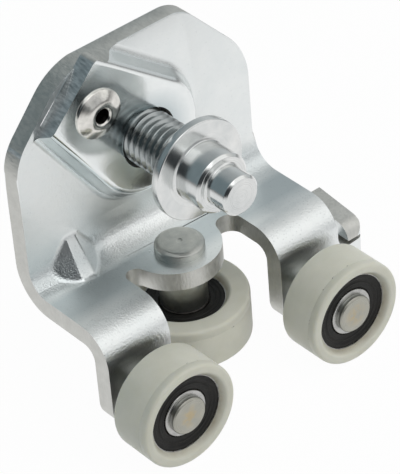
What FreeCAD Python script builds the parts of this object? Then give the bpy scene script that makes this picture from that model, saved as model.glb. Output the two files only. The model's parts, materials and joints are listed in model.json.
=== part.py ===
import FreeCAD, Part
import math
import os

# Sliding door roller guide: a bent sheet carriage, a pivot stud, two track rollers and a guide roller.
# Millimetres. X runs along the rail, Y points back from the door, Z is up.
# The origin lies on the stud's axis, in the front face of its collar.

# Carriage sheet and its upright plate
sheet = 5.0
plate_front = 23.0
plate_half_width = 35.0
plate_top = 25.7
left_corner_width = 16.0
left_corner_height = 18.2
right_corner_width = 18.5
right_corner_height = 20.1
left_top_radius = 17.0
right_top_radius = 9.0
left_side_radius = 14.0
right_side_radius = 20.0
plate_bend_radius = 5.5

# Shelf, tongue and legs
shelf_drop = 28.4
leg_bend_radius = 3.5
flange_front = -4.5
right_leg_extra = 1.8
leg_widening_start = 18.0
leg_widening_radius = 10.0
flange_below_axle = 9.9
flange_corner_radius = 6.0
tongue_radius = 11.8
tongue_centre = 13.0
left_notch_width = 4.6
right_notch_width = 6.4
notch_fullness = 1.07

# Raised pad round the stud, cut open at its outer end
pad_rise = 4.6
pad_radius = 14.6
pad_wall_run = 2.4
pad_edge_radius = 2.0
pad_foot_radius = 2.4
pad_angle = 135.0
lance_distance = 28.9
lance_lower_half = 9.2
lance_upper_half = 11.1
lance_gap = 0.6
lance_lower_end = 9.0
lance_upper_end = 5.4
pad_tab_start = 22.0
pad_tab_radius = 1.6
hollow_rim = 1.6

# Pressed corner gussets
gusset_place = 22.5
gusset_height = 9.6
gusset_reach = 6.4
gusset_half_width = 9.3
gusset_ridge = 3.4
gusset_edge_radius = 1.6

# Stop lug bent back from the right flange
lug_reach = 8.2
lug_back = 11.0
lug_top_drop = 34.7
lug_bottom_drop = 54.0
lug_top_slope = 8.0
lug_outer_radius = 1.2
lug_inner_radius = 0.3
lug_nose_radius = 1.2
lug_relief_radius = 3.8
lug_relief_drop = 41.8
lug_relief_height = 2.9
lug_relief_rise = 0.6

# Pivot stud
collar_diameter = 25.6
collar_thickness = 2.25
journal_diameter = 15.2
journal_length = 8.0
nose_diameter = 10.4
nose_length = 6.5
stud_thread_diameter = 14.0
stud_hole_gap = 0.8
stud_edge = 0.7
collar_edge = 0.35
stud_end_proud = 1.2

# Nut plate and blind rivet
nut_plate_thickness = 6.0
nut_plate_radius = 11.0
nut_plate_end_radius = 6.0
rivet_distance = 19.5
rivet_shank_diameter = 6.4
rivet_head_diameter = 12.7
rivet_head_height = 2.0
rivet_head_rim = 0.8
rivet_dome_diameter = 7.0
rivet_dome_radius = 0.8
rivet_bore_diameter = 3.8
rivet_tail_diameter = 9.0
rivet_tail_length = 4.4
rivet_tail_shoulder = 2.5
rivet_tail_radius = 1.0
mandrel_break_depth = 4.0
mandrel_head_diameter = 5.6
mandrel_head_rim = 0.8
mandrel_head_height = 2.0
mandrel_tip_diameter = 3.4

# Roller places
track_axle_inset = 9.0
track_axle_drop = 45.2
guide_axle_back = 10.5

# Axles
axle_head_diameter = 12.2
axle_head_height = 2.4
axle_head_edge = 0.5
spigot_diameter = 9.0
track_shoulder_diameter = 10.4
track_shoulder_length = 9.0
guide_shoulder_diameter = 11.8
guide_shoulder_length = 10.0
axle_rivet_overlap = 0.85
axle_rivet_height = 1.5
axle_rivet_edge = 0.35

# Ball bearing
bearing_bore = 8.0
bearing_outside = 22.0
bearing_width = 7.0
inner_ring_wall = 2.05
outer_ring_wall = 1.9
ball_count = 7
ball_diameter = 3.969
race_radius_ratio = 0.52
seal_rim = 1.1
seal_thickness = 0.6
seal_recess = 0.1
seal_step = 0.2
seal_step_inset = 1.9
cage_wall = 1.4
cage_behind_balls = 2.6
cage_before_balls = 0.8

# Tyres
track_tyre_diameter = 27.0
guide_tyre_diameter = 32.0
tyre_deep_lip = 3.0
tyre_shallow_lip = 1.6
tyre_edge_radius = 0.8
lip_cover = 1.0
lip_flare = 1.25
lip_edge_radius = 0.4

# Clearances
fit = 0.02
thread_gap = 0.05
hole_gap = 0.05
ball_gap = 0.1
pocket_gap = 0.15
seal_gap = 0.2
moulding_gap = 0.02
cut_past = 1.0
same_place = 1e-6

# Sizes that follow
plate_back = plate_front + sheet
shelf_top = -shelf_drop
shelf_under = shelf_top - sheet
flange_back = flange_front + sheet
leg_bend_outer = leg_bend_radius + sheet
leg_bend_start = flange_front + leg_bend_outer
flange_top = shelf_top - leg_bend_outer
flange_bottom = -track_axle_drop - flange_below_axle
left_leg_inner = tongue_radius + left_notch_width
right_leg_inner = tongue_radius + right_notch_width
right_leg_outer = plate_half_width + right_leg_extra
track_axle_place = plate_half_width - track_axle_inset
pad_front = plate_front - pad_rise
pad_floor = pad_front + sheet
rivet_grip = sheet + nut_plate_thickness
ball_radius = ball_diameter / 2
ball_circle_radius = (bearing_bore + bearing_outside) / 4
inner_ring_radius = bearing_bore / 2 + inner_ring_wall
outer_ring_radius = bearing_outside / 2 - outer_ring_wall
seal_radius = bearing_outside / 2 - seal_rim

Vec = FreeCAD.Vector
ALONG = Vec(1, 0, 0)
BACK = Vec(0, 1, 0)
UP = Vec(0, 0, 1)


def front_view(u, v):
    return Vec(u, 0, v)


def side_view(u, v):
    return Vec(0, u, v)


def top_view(u, v):
    return Vec(u, v, 0)


def rounded_wire(corners, place):
    """Closed wire through corners (u, v, radius), laid in the view that place gives."""
    flat = [Vec(u, v, 0) for u, v, radius in corners]
    runs = []
    for i, (u, v, radius) in enumerate(corners):
        here = flat[i]
        following = flat[(i + 1) % len(flat)]
        to_last = (flat[i - 1] - here).normalize()
        to_next = (following - here).normalize()
        half = to_last.getAngle(to_next) / 2
        shorter = min(here.distanceToPoint(flat[i - 1]), here.distanceToPoint(following))
        radius = min(radius, shorter / 2 * math.tan(half))
        reach = radius / math.tan(half)
        middle = here
        if radius > 0:
            middle = here + (to_last + to_next).normalize() * (radius / math.sin(half) - radius)
        runs.append((here + to_last * reach, middle, here + to_next * reach))
    edges = []
    for i, (start, middle, end) in enumerate(runs):
        last_end = runs[i - 1][2]
        if last_end.distanceToPoint(start) > same_place:
            edges.append(Part.makeLine(place(last_end.x, last_end.y), place(start.x, start.y)))
        if start.distanceToPoint(end) > same_place:
            points = [place(p.x, p.y) for p in (start, middle, end)]
            edges.append(Part.Arc(*points).toShape())
    return Part.Wire(edges)


def prism(corners, place, direction, start, end):
    """Solid of a rounded outline, from start to end along direction."""
    face = Part.Face(rounded_wire(corners, place))
    face.translate(direction * start)
    return face.extrude(direction * (end - start))


def block(low, high):
    return Part.makeBox(high[0] - low[0], high[1] - low[1], high[2] - low[2], Vec(*low))


def turned(corners):
    """Solid of revolution about Z from corners (radius, height, rounding)."""
    return Part.Face(rounded_wire(corners, front_view)).revolve(Vec(0, 0, 0), UP, 360)


def arc_between(centre, radius, from_angle, to_angle, place):
    """Arc edge about centre, by angles in degrees in the view that place gives."""
    points = []
    for angle in (from_angle, (from_angle + to_angle) / 2, to_angle):
        turn = math.radians(angle)
        points.append(place(centre[0] + radius * math.cos(turn), centre[1] + radius * math.sin(turn)))
    return Part.Arc(*points).toShape()


def joined(pieces):
    """Closed wire of edges, with straight edges between the end of each and the start of the next."""
    edges = []
    for i, piece in enumerate(pieces):
        last = pieces[i - 1].Vertexes[-1].Point
        first = piece.Vertexes[0].Point
        if last.distanceToPoint(first) > same_place:
            edges.append(Part.makeLine(last, first))
        edges.append(piece)
    return Part.Wire(edges)


# Directions of the pad: out along its axis, and across it
pad_turn = math.radians(pad_angle)
pad_out = Vec(math.cos(pad_turn), 0, math.sin(pad_turn))
pad_across = Vec(math.sin(pad_turn), 0, -math.cos(pad_turn))


def pad_point(out, across):
    return pad_out * out + pad_across * across


def pad_block(low, high):
    """Block from low to high, each given as out along the pad's axis, across it, and back."""
    corners = [
        (low[0], low[1], 0),
        (high[0], low[1], 0),
        (high[0], high[1], 0),
        (low[0], high[1], 0),
    ]
    return prism(corners, pad_point, BACK, low[2], high[2])


def pad_section(turn):
    """Half section of the drawn pad and the flat sheet round it, at an angle from the pad's axis."""
    base_radius = pad_radius + pad_wall_run
    corners = [
        (0, pad_front, 0),
        (pad_radius, pad_front, pad_edge_radius),
        (base_radius, plate_front, pad_foot_radius),
        (base_radius + 2 * pad_foot_radius, plate_front, 0),
        (base_radius + 2 * pad_foot_radius, plate_back, 0),
        (0, plate_back, 0),
    ]
    away = pad_point(math.cos(turn), math.sin(turn))
    return Part.Face(rounded_wire(corners, lambda u, v: away * u + BACK * v))


def pad_tangent(half_width):
    """Angle from the pad's axis at which a straight side leaves its round end."""
    reach = math.hypot(lance_distance, half_width)
    return math.atan2(half_width, lance_distance) + math.acos(pad_radius / reach)


def drawn_sheet():
    """Sheet with the pad drawn forward: round about the stud, narrowing to the straight lance."""
    reach = math.hypot(lance_distance, lance_upper_half)
    upper = pad_tangent(lance_upper_half)
    lower = pad_tangent(lance_lower_half)
    upper_run = pad_point(math.sin(upper), -math.cos(upper))
    lower_run = pad_point(math.sin(lower), math.cos(lower))
    round_end = pad_section(upper).revolve(Vec(0, 0, 0), BACK, 360 - math.degrees(upper + lower))
    upper_side = pad_section(upper).extrude(upper_run * reach)
    lower_side = pad_section(-lower).extrude(lower_run * reach)
    form = round_end.fuse(upper_side).fuse(lower_side).removeSplitter()
    past_lance = pad_block((lance_distance, -reach, pad_front - cut_past), (2 * reach, reach, plate_front))
    return form.cut(past_lance)


def gusset(place):
    """Triangular pressing across the inside of the plate's bend, with a narrow flat ridge."""
    half_ridge = gusset_ridge / 2
    top_left = Vec(place - half_ridge, plate_front, shelf_top + gusset_height)
    top_right = Vec(place + half_ridge, plate_front, shelf_top + gusset_height)
    low_left = Vec(place - half_ridge, plate_front - gusset_reach, shelf_top)
    low_right = Vec(place + half_ridge, plate_front - gusset_reach, shelf_top)
    left = Vec(place - gusset_half_width, plate_front, shelf_top)
    right = Vec(place + gusset_half_width, plate_front, shelf_top)
    sides = [
        (low_left, low_right, top_right, top_left),
        (left, low_left, top_left),
        (low_right, right, top_right),
        (top_right, right, left, top_left),
        (left, right, low_right, low_left),
    ]
    faces = [Part.Face(Part.makePolygon(list(side) + [side[0]])) for side in sides]
    pressing = Part.Solid(Part.Shell(faces))
    ridge = []
    for edge in pressing.Edges:
        rise = abs(edge.Vertexes[0].Point.z - edge.Vertexes[-1].Point.z)
        run = abs(edge.Vertexes[0].Point.y - edge.Vertexes[-1].Point.y)
        if rise > same_place and run > same_place:
            ridge.append(edge)
    return pressing.makeFillet(gusset_edge_radius, ridge)


def bent_strip():
    """The sheet seen from the side, from the plate's top down to the flange's end, over the full width."""
    plate_arc_centre = (plate_front - plate_bend_radius, shelf_top + plate_bend_radius)
    leg_arc_centre = (leg_bend_start, flange_top)
    top_back = Part.makeLine(side_view(plate_front, plate_top), side_view(plate_back, plate_top))
    low_end = Part.makeLine(side_view(flange_back, flange_bottom), side_view(flange_front, flange_bottom))
    outline = joined([
        top_back,
        arc_between(plate_arc_centre, plate_bend_radius + sheet, 0, -90, side_view),
        arc_between(leg_arc_centre, leg_bend_radius, 90, 180, side_view),
        low_end,
        arc_between(leg_arc_centre, leg_bend_outer, 180, 90, side_view),
        arc_between(plate_arc_centre, plate_bend_radius, -90, 0, side_view),
    ])
    face = Part.Face(outline)
    face.translate(ALONG * -plate_half_width)
    return face.extrude(ALONG * (plate_half_width + right_leg_outer))


def blank_outline():
    """The sheet seen from the front: cut upper corners, the wider right leg, rounded lower corners."""
    lug_step = max(-lug_bottom_drop - flange_bottom, 0)
    corners = [
        (left_corner_width - plate_half_width, plate_top, left_top_radius),
        (plate_half_width - right_corner_width, plate_top, right_top_radius),
        (plate_half_width, plate_top - right_corner_height, right_side_radius),
        (plate_half_width, -leg_widening_start, leg_widening_radius),
        (right_leg_outer, shelf_top, leg_widening_radius / 2),
        (right_leg_outer, flange_bottom, lug_step),
        (-plate_half_width, flange_bottom, flange_corner_radius),
        (-plate_half_width, plate_top - left_corner_height, left_side_radius),
    ]
    return prism(corners, front_view, BACK, flange_front - cut_past, plate_back + cut_past)


def notch(leg_inner, notch_width):
    """Round notch between the tongue and a leg: its radius, its centre across and back, and its lean."""
    radius = notch_width / 2 * notch_fullness
    across = leg_inner - radius
    forward = math.sqrt((tongue_radius + radius) ** 2 - across ** 2)
    lean = math.degrees(math.atan2(forward, across))
    return radius, across, tongue_centre - forward, lean


def tongue_gap():
    """The opening between the legs, seen from above: a round tongue with a round notch on each side."""
    right_radius, right_across, right_back, right_lean = notch(right_leg_inner, right_notch_width)
    left_radius, left_across, left_back, left_lean = notch(left_leg_inner, left_notch_width)
    front = flange_front - cut_past
    outline = joined([
        Part.makeLine(top_view(-left_leg_inner, front), top_view(right_leg_inner, front)),
        arc_between((right_across, right_back), right_radius, 0, 180 - right_lean, top_view),
        arc_between((0, tongue_centre), tongue_radius, -right_lean, left_lean - 180, top_view),
        arc_between((-left_across, left_back), left_radius, left_lean, 180, top_view),
    ])
    face = Part.Face(outline)
    face.translate(UP * (flange_bottom - cut_past))
    gap = face.extrude(UP * (shelf_top - flange_bottom + 2 * cut_past))
    return gap, max(right_back + right_radius, left_back + left_radius)


def stop_lug():
    """Side lug: the right flange runs on outwards, turns back by a right angle and is trimmed on top."""
    outer = right_leg_outer + lug_reach
    inner = outer - sheet
    outer_centre = (outer - lug_outer_radius, flange_front + lug_outer_radius)
    inner_centre = (inner - lug_inner_radius, flange_back + lug_inner_radius)
    outline = joined([
        Part.makeLine(top_view(right_leg_outer, flange_back), top_view(right_leg_outer, flange_front)),
        arc_between(outer_centre, lug_outer_radius, -90, 0, top_view),
        Part.makeLine(top_view(outer, lug_back), top_view(inner, lug_back)),
        arc_between(inner_centre, lug_inner_radius, 0, -90, top_view),
    ])
    face = Part.Face(outline)
    face.translate(UP * -lug_bottom_drop)
    lug = face.extrude(UP * (lug_bottom_drop - lug_top_drop))

    fall = math.tan(math.radians(lug_top_slope))
    front_drop = lug_top_drop + (lug_back - flange_front) * fall
    above = cut_past - lug_top_drop
    slope = [
        (lug_back, -lug_top_drop, 0),
        (flange_front, -front_drop, lug_nose_radius),
        (flange_front, -front_drop - 2 * lug_nose_radius, 0),
        (flange_front - cut_past, above, 0),
        (lug_back, above, 0),
    ]
    trim = prism(slope, side_view, ALONG, right_leg_outer, outer + cut_past)

    relief_low = -lug_relief_drop
    relief_high = relief_low + lug_relief_height
    relief = [
        (right_leg_outer, above, 0),
        (right_leg_outer, relief_low, lug_relief_radius),
        (outer + cut_past, relief_low + lug_relief_rise, 0),
        (outer + cut_past, relief_high, 0),
        (inner, relief_high, lug_inner_radius),
        (inner, above, 0),
    ]
    return lug.cut(trim).cut(prism(relief, front_view, BACK, flange_front - cut_past, flange_back))


def round_inner_corners(plate):
    """Rounds the lower corner of each flange on its side towards the other leg."""
    corners = []
    for edge in plate.Edges:
        ends = [v.Point for v in edge.Vertexes]
        at_left = all(abs(p.x + left_leg_inner) < same_place for p in ends)
        at_right = all(abs(p.x - right_leg_inner) < same_place for p in ends)
        at_bottom = all(abs(p.z - flange_bottom) < same_place for p in ends)
        if at_bottom and (at_left or at_right):
            corners.append(edge)
    return plate.makeFillet(flange_corner_radius, corners)


def carriage_plate():
    gap, gap_end = tongue_gap()
    blank = blank_outline()
    between_legs = block((-left_leg_inner, flange_front - cut_past, flange_bottom - cut_past),
                         (right_leg_inner, gap_end, shelf_top + cut_past))
    tongue_blank = block((-left_leg_inner, tongue_centre - tongue_radius, shelf_under),
                         (right_leg_inner, gap_end, shelf_top))
    plate = bent_strip().common(blank).cut(between_legs).fuse(tongue_blank).cut(gap).removeSplitter()
    plate = round_inner_corners(plate).fuse(stop_lug())
    for place in (-gusset_place, gusset_place):
        pressing = gusset(place)
        dent = pressing.copy()
        dent.translate(Vec(0, sheet, -sheet))
        plate = plate.fuse(pressing).cut(dent)

    drawn = drawn_sheet()
    tab_corners = [
        (pad_tab_start, 0, 0),
        (lance_distance, 0, 0),
        (lance_distance, lance_upper_half, pad_tab_radius),
        (pad_tab_start, lance_upper_half, 0),
    ]
    tab = prism(tab_corners, pad_point, BACK, pad_front - cut_past, pad_floor)
    top_rim = block((-plate_half_width, plate_front, plate_top - hollow_rim),
                    (plate_half_width, plate_back + 2 * sheet, plate_top + sheet))
    hollow = drawn.copy()
    hollow.translate(BACK * sheet)
    plate = plate.fuse(drawn.common(blank)).fuse(drawn.common(tab)).cut(hollow.cut(top_rim))
    plate = plate.cut(pad_block((lance_distance, -lance_lower_end, pad_front - cut_past),
                                (lance_distance + lance_gap, lance_upper_end, plate_back + cut_past)))

    stud_hole = stud_thread_diameter / 2 + stud_hole_gap
    rivet_hole = rivet_shank_diameter / 2 + hole_gap
    spigot_hole = spigot_diameter / 2 + hole_gap
    depth = sheet + 2 * cut_past
    pad_start = BACK * (pad_front - cut_past)
    holes = [
        Part.makeCylinder(stud_hole, depth, pad_start, BACK),
        Part.makeCylinder(rivet_hole, depth, pad_point(rivet_distance, 0) + pad_start, BACK),
        Part.makeCylinder(spigot_hole, depth, Vec(0, guide_axle_back, shelf_under - cut_past), UP),
    ]
    for place in (-track_axle_place, track_axle_place):
        start = Vec(place, flange_front - cut_past, -track_axle_drop)
        holes.append(Part.makeCylinder(spigot_hole, depth, start, BACK))
    return plate.cut(Part.makeCompound(holes)).removeSplitter()


def toward_front(shape):
    """Turns a piece made about Z so that its height runs forward, along minus Y."""
    shape.rotate(Vec(0, 0, 0), ALONG, 90)
    return shape


def pivot_stud():
    """Turned stud: nose, journal, collar and thread, by their heights forward of the collar's face."""
    thread_end = -(pad_floor + nut_plate_thickness + stud_end_proud)
    stud = turned([
        (0, thread_end, 0),
        (stud_thread_diameter / 2 - 2 * stud_edge, thread_end, 0),
        (stud_thread_diameter / 2, thread_end + 2 * stud_edge, 0),
        (stud_thread_diameter / 2, -collar_thickness, 0),
        (collar_diameter / 2, -collar_thickness, collar_edge),
        (collar_diameter / 2, 0, collar_edge),
        (journal_diameter / 2, 0, 0),
        (journal_diameter / 2, journal_length - stud_edge, 0),
        (journal_diameter / 2 - stud_edge, journal_length, 0),
        (nose_diameter / 2, journal_length, 0),
        (nose_diameter / 2, journal_length + nose_length - stud_edge, 0),
        (nose_diameter / 2 - stud_edge, journal_length + nose_length, 0),
        (0, journal_length + nose_length, 0),
    ])
    return toward_front(stud)


def nut_plate():
    """Tapped plate in the hollow behind the pad, long enough to take the rivet as well."""
    lean = math.acos((nut_plate_radius - nut_plate_end_radius) / rivet_distance)
    big_out = nut_plate_radius * math.cos(lean)
    big_across = nut_plate_radius * math.sin(lean)
    end_out = rivet_distance + nut_plate_end_radius * math.cos(lean)
    end_across = nut_plate_end_radius * math.sin(lean)
    tip = pad_point(rivet_distance + nut_plate_end_radius, 0)
    outline = Part.Wire([
        Part.Arc(pad_point(big_out, big_across), pad_point(-nut_plate_radius, 0),
                 pad_point(big_out, -big_across)).toShape(),
        Part.makeLine(pad_point(big_out, -big_across), pad_point(end_out, -end_across)),
        Part.Arc(pad_point(end_out, -end_across), tip, pad_point(end_out, end_across)).toShape(),
        Part.makeLine(pad_point(end_out, end_across), pad_point(big_out, big_across)),
    ])
    face = Part.Face(outline)
    face.translate(BACK * pad_floor)
    plate = face.extrude(BACK * nut_plate_thickness)
    tapped = stud_thread_diameter / 2 + thread_gap
    rivet_hole = rivet_shank_diameter / 2 + hole_gap
    depth = nut_plate_thickness + 2 * cut_past
    start = BACK * (pad_floor - cut_past)
    plate = plate.cut(Part.makeCylinder(tapped, depth, start, BACK))
    return plate.cut(Part.makeCylinder(rivet_hole, depth, pad_point(rivet_distance, 0) + start, BACK))


def at_rivet(shape):
    toward_front(shape)
    shape.translate(pad_point(rivet_distance, 0) + BACK * pad_front)
    return shape


def blind_rivet():
    """Hollow rivet, set: domed head on the pad, shank through pad and nut plate, bulged tail behind."""
    head = rivet_head_diameter / 2
    shank = rivet_shank_diameter / 2
    bore = rivet_bore_diameter / 2
    tail = rivet_tail_diameter / 2
    tail_end = -rivet_grip - rivet_tail_length
    return at_rivet(turned([
        (bore, rivet_head_height, 0),
        (rivet_dome_diameter / 2, rivet_head_height, rivet_dome_radius),
        (head, rivet_head_rim, rivet_dome_radius),
        (head, 0, 0),
        (shank, 0, 0),
        (shank, -rivet_grip, 0),
        (tail, -rivet_grip, rivet_tail_radius / 2),
        (tail, -rivet_grip - rivet_tail_shoulder, rivet_tail_radius),
        (shank, tail_end, 0),
        (bore, tail_end, 0),
    ]))


def rivet_mandrel():
    """What stays of the pulled stem: its broken end inside the bore and its head against the tail."""
    stem = rivet_bore_diameter / 2 - fit
    head = mandrel_head_diameter / 2
    broken_end = rivet_head_height - mandrel_break_depth
    tail_end = -rivet_grip - rivet_tail_length
    return at_rivet(turned([
        (0, broken_end, 0),
        (stem, broken_end, 0),
        (stem, tail_end, 0),
        (head, tail_end, 0),
        (head, tail_end - mandrel_head_rim, 0),
        (mandrel_tip_diameter / 2, tail_end - mandrel_head_height, 0),
        (0, tail_end - mandrel_head_height, 0),
    ]))


# A roller is made about Z: height 0 is the bearing face on the shoulder, and heights grow outwards.
bearing_middle = bearing_width / 2


def axle(shoulder_diameter, shoulder_length):
    """Stepped pin: head and spigot in the sheet, shoulder, bearing seat, and a riveted end."""
    sheet_front = -shoulder_length
    sheet_rear = sheet_front - sheet
    head_end = sheet_rear - axle_head_height
    rivet_radius = bearing_bore / 2 + axle_rivet_overlap
    rivet_end = bearing_width + axle_rivet_height
    return turned([
        (0, head_end, 0),
        (axle_head_diameter / 2, head_end, axle_head_edge),
        (axle_head_diameter / 2, sheet_rear, 0),
        (spigot_diameter / 2, sheet_rear, 0),
        (spigot_diameter / 2, sheet_front, 0),
        (shoulder_diameter / 2, sheet_front, 0),
        (shoulder_diameter / 2, 0, 0),
        (bearing_bore / 2 - fit, 0, 0),
        (bearing_bore / 2 - fit, bearing_width, 0),
        (rivet_radius, bearing_width, 0),
        (rivet_radius, rivet_end, axle_rivet_edge),
        (0, rivet_end, 0),
    ])


def race():
    groove = Part.makeTorus(ball_circle_radius, ball_diameter * race_radius_ratio + ball_gap)
    groove.translate(UP * bearing_middle)
    return groove


def inner_ring():
    ring = turned([
        (bearing_bore / 2, 0, 0),
        (inner_ring_radius, 0, 0),
        (inner_ring_radius, bearing_width, 0),
        (bearing_bore / 2, bearing_width, 0),
    ])
    return ring.cut(race())


def outer_ring():
    """Outer ring with a step at each face where a seal snaps in."""
    seat = seal_thickness + seal_recess
    ring = turned([
        (seal_radius, 0, 0),
        (bearing_outside / 2, 0, 0),
        (bearing_outside / 2, bearing_width, 0),
        (seal_radius, bearing_width, 0),
        (seal_radius, bearing_width - seat, 0),
        (outer_ring_radius, bearing_width - seat, 0),
        (outer_ring_radius, seat, 0),
        (seal_radius, seat, 0),
    ])
    return ring.cut(race())


def ball_places():
    for number in range(ball_count):
        turn = 2 * math.pi * number / ball_count
        yield Vec(ball_circle_radius * math.cos(turn), ball_circle_radius * math.sin(turn), bearing_middle)


def balls():
    return Part.makeCompound([Part.makeSphere(ball_radius, place) for place in ball_places()])


def cage():
    """Snap cage: a ring with round pockets, open towards the outer seal."""
    inside = ball_circle_radius - cage_wall / 2
    outside = ball_circle_radius + cage_wall / 2
    ring = turned([
        (inside, bearing_middle - cage_behind_balls, 0),
        (outside, bearing_middle - cage_behind_balls, 0),
        (outside, bearing_middle + cage_before_balls, 0),
        (inside, bearing_middle + cage_before_balls, 0),
    ])
    for place in ball_places():
        ring = ring.cut(Part.makeSphere(ball_radius + pocket_gap, place))
    return ring


def seal(face, inward):
    """Thin seal disc set into one face of the bearing; inward is the way into the bearing."""
    outer_face = face + inward * seal_recess
    inner_face = outer_face + inward * seal_thickness
    inside = inner_ring_radius + seal_gap
    outside = seal_radius - fit
    step = outside - seal_step_inset
    return turned([
        (inside, outer_face + inward * seal_step, 0),
        (step, outer_face + inward * seal_step, 0),
        (step, outer_face, 0),
        (outside, outer_face, 0),
        (outside, inner_face, 0),
        (inside, inner_face, 0),
    ])


def tyre(diameter, inner_lip, outer_lip):
    """Nylon tyre moulded round the outer ring, with a flared lip over each of the ring's faces."""
    start = -inner_lip
    end = bearing_width + outer_lip
    seat = bearing_outside / 2 + moulding_gap
    lip = bearing_outside / 2 - lip_cover
    mouth = lip + lip_flare
    return turned([
        (diameter / 2, start, tyre_edge_radius),
        (diameter / 2, end, tyre_edge_radius),
        (mouth, end, lip_edge_radius),
        (lip, bearing_width + moulding_gap, 0),
        (seat, bearing_width + moulding_gap, 0),
        (seat, -moulding_gap, 0),
        (lip, -moulding_gap, 0),
        (mouth, start, lip_edge_radius),
    ])


bearing_pieces = {
    "inner_ring": inner_ring(),
    "outer_ring": outer_ring(),
    "balls": balls(),
    "cage": cage(),
    "outer_seal": seal(bearing_width, -1),
    "inner_seal": seal(0, 1),
}
track_pieces = dict(bearing_pieces)
track_pieces["axle"] = axle(track_shoulder_diameter, track_shoulder_length)
track_pieces["tyre"] = tyre(track_tyre_diameter, tyre_deep_lip, tyre_shallow_lip)
guide_pieces = dict(bearing_pieces)
guide_pieces["axle"] = axle(guide_shoulder_diameter, guide_shoulder_length)
guide_pieces["tyre"] = tyre(guide_tyre_diameter, tyre_shallow_lip, tyre_deep_lip)

# The track rollers stand forward from the flanges, the guide roller hangs under the tongue.
forward = FreeCAD.Rotation(ALONG, 90)
downward = FreeCAD.Rotation(ALONG, 180)
track_face = flange_front - track_shoulder_length
guide_face = shelf_under - guide_shoulder_length
rollers = {
    "left": (track_pieces, Vec(-track_axle_place, track_face, -track_axle_drop), forward),
    "right": (track_pieces, Vec(track_axle_place, track_face, -track_axle_drop), forward),
    "guide": (guide_pieces, Vec(0, guide_axle_back, guide_face), downward),
}

solids = {
    "carriage_plate": carriage_plate(),
    "pivot_stud": pivot_stud(),
    "nut_plate": nut_plate(),
    "blind_rivet": blind_rivet(),
    "rivet_mandrel": rivet_mandrel(),
}
for roller, (pieces, place, turn) in rollers.items():
    seat = FreeCAD.Placement(place, turn)
    for piece, shape in pieces.items():
        placed = shape.copy()
        placed.Placement = seat.multiply(placed.Placement)
        solids[roller + "_" + piece] = placed

os.makedirs("parts", exist_ok=True)
for node, shape in solids.items():
    shape.exportStep("parts/" + node + ".step")
    print(node, len(shape.Solids), shape.isValid(), round(shape.Volume, 2))
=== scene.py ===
import json
import math

import bmesh
import bpy
from mathutils import Matrix, Vector

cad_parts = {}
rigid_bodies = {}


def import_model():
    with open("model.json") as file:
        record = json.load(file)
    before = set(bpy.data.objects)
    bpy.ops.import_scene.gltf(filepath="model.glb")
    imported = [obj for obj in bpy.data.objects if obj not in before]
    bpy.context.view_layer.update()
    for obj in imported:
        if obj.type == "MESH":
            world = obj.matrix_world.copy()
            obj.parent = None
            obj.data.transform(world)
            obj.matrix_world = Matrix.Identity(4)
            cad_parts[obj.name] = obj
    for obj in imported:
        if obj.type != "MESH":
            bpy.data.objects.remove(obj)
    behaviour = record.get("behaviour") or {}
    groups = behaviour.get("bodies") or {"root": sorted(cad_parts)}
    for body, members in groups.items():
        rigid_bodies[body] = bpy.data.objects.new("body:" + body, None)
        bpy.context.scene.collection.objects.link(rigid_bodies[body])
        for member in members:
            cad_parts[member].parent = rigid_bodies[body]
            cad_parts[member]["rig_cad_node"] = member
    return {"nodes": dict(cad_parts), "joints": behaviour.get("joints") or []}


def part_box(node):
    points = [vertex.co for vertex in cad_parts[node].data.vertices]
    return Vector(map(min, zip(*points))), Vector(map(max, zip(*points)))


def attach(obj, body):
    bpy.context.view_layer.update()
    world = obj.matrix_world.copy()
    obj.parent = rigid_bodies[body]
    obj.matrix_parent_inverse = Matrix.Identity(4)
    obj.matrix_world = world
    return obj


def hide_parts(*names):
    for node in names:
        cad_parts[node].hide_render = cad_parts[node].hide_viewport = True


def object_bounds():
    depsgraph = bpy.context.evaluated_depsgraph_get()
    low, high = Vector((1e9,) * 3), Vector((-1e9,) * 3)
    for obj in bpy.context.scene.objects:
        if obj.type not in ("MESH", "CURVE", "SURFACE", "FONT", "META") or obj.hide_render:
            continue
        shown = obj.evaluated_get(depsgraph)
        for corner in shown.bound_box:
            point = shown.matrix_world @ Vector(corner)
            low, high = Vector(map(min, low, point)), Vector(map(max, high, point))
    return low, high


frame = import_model()
cad_low, cad_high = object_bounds()

# Carriage plate: one strip of 5 mm steel, blanked, drawn out round the stud, lanced and bent twice.
# It is zinc plated after pressing: frosty and pitted where the bends stretched it, polished on the drawn pad,
# and rough grey along its sheared edges. Its colour also carries painted light: a near white painted
# highlight along the middle of the plate's bend, painted blue grey shade on the shelf and the gussets, a
# painted reflection of the stud on the pad round it, and painted shade on the left flange above its roller.
MM = 0.001
welded, same_place = 0.001 * MM, 0.005 * MM
smooth_below = math.radians(32)


def only(piece):
    """Selects this piece and nothing else."""
    if bpy.context.mode != "OBJECT":
        bpy.ops.object.mode_set(mode="OBJECT")
    bpy.ops.object.select_all(action="DESELECT")
    piece.select_set(True)
    bpy.context.view_layer.objects.active = piece


def merged_copy(node, name):
    """Copy of a solid's mesh, with its loose triangles merged into whole faces."""
    only(frame["nodes"][node])
    bpy.ops.object.duplicate()
    piece = bpy.context.object
    piece.name = name
    del piece["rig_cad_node"]
    bpy.ops.mesh.customdata_custom_splitnormals_clear()
    bpy.ops.object.mode_set(mode="EDIT")
    bpy.ops.mesh.select_all(action="SELECT")
    bpy.ops.mesh.remove_doubles(threshold=2 * welded)
    bpy.ops.mesh.dissolve_limited(angle_limit=math.radians(0.5))
    bpy.ops.object.mode_set(mode="OBJECT")
    piece.data.materials.clear()
    return piece


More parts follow.
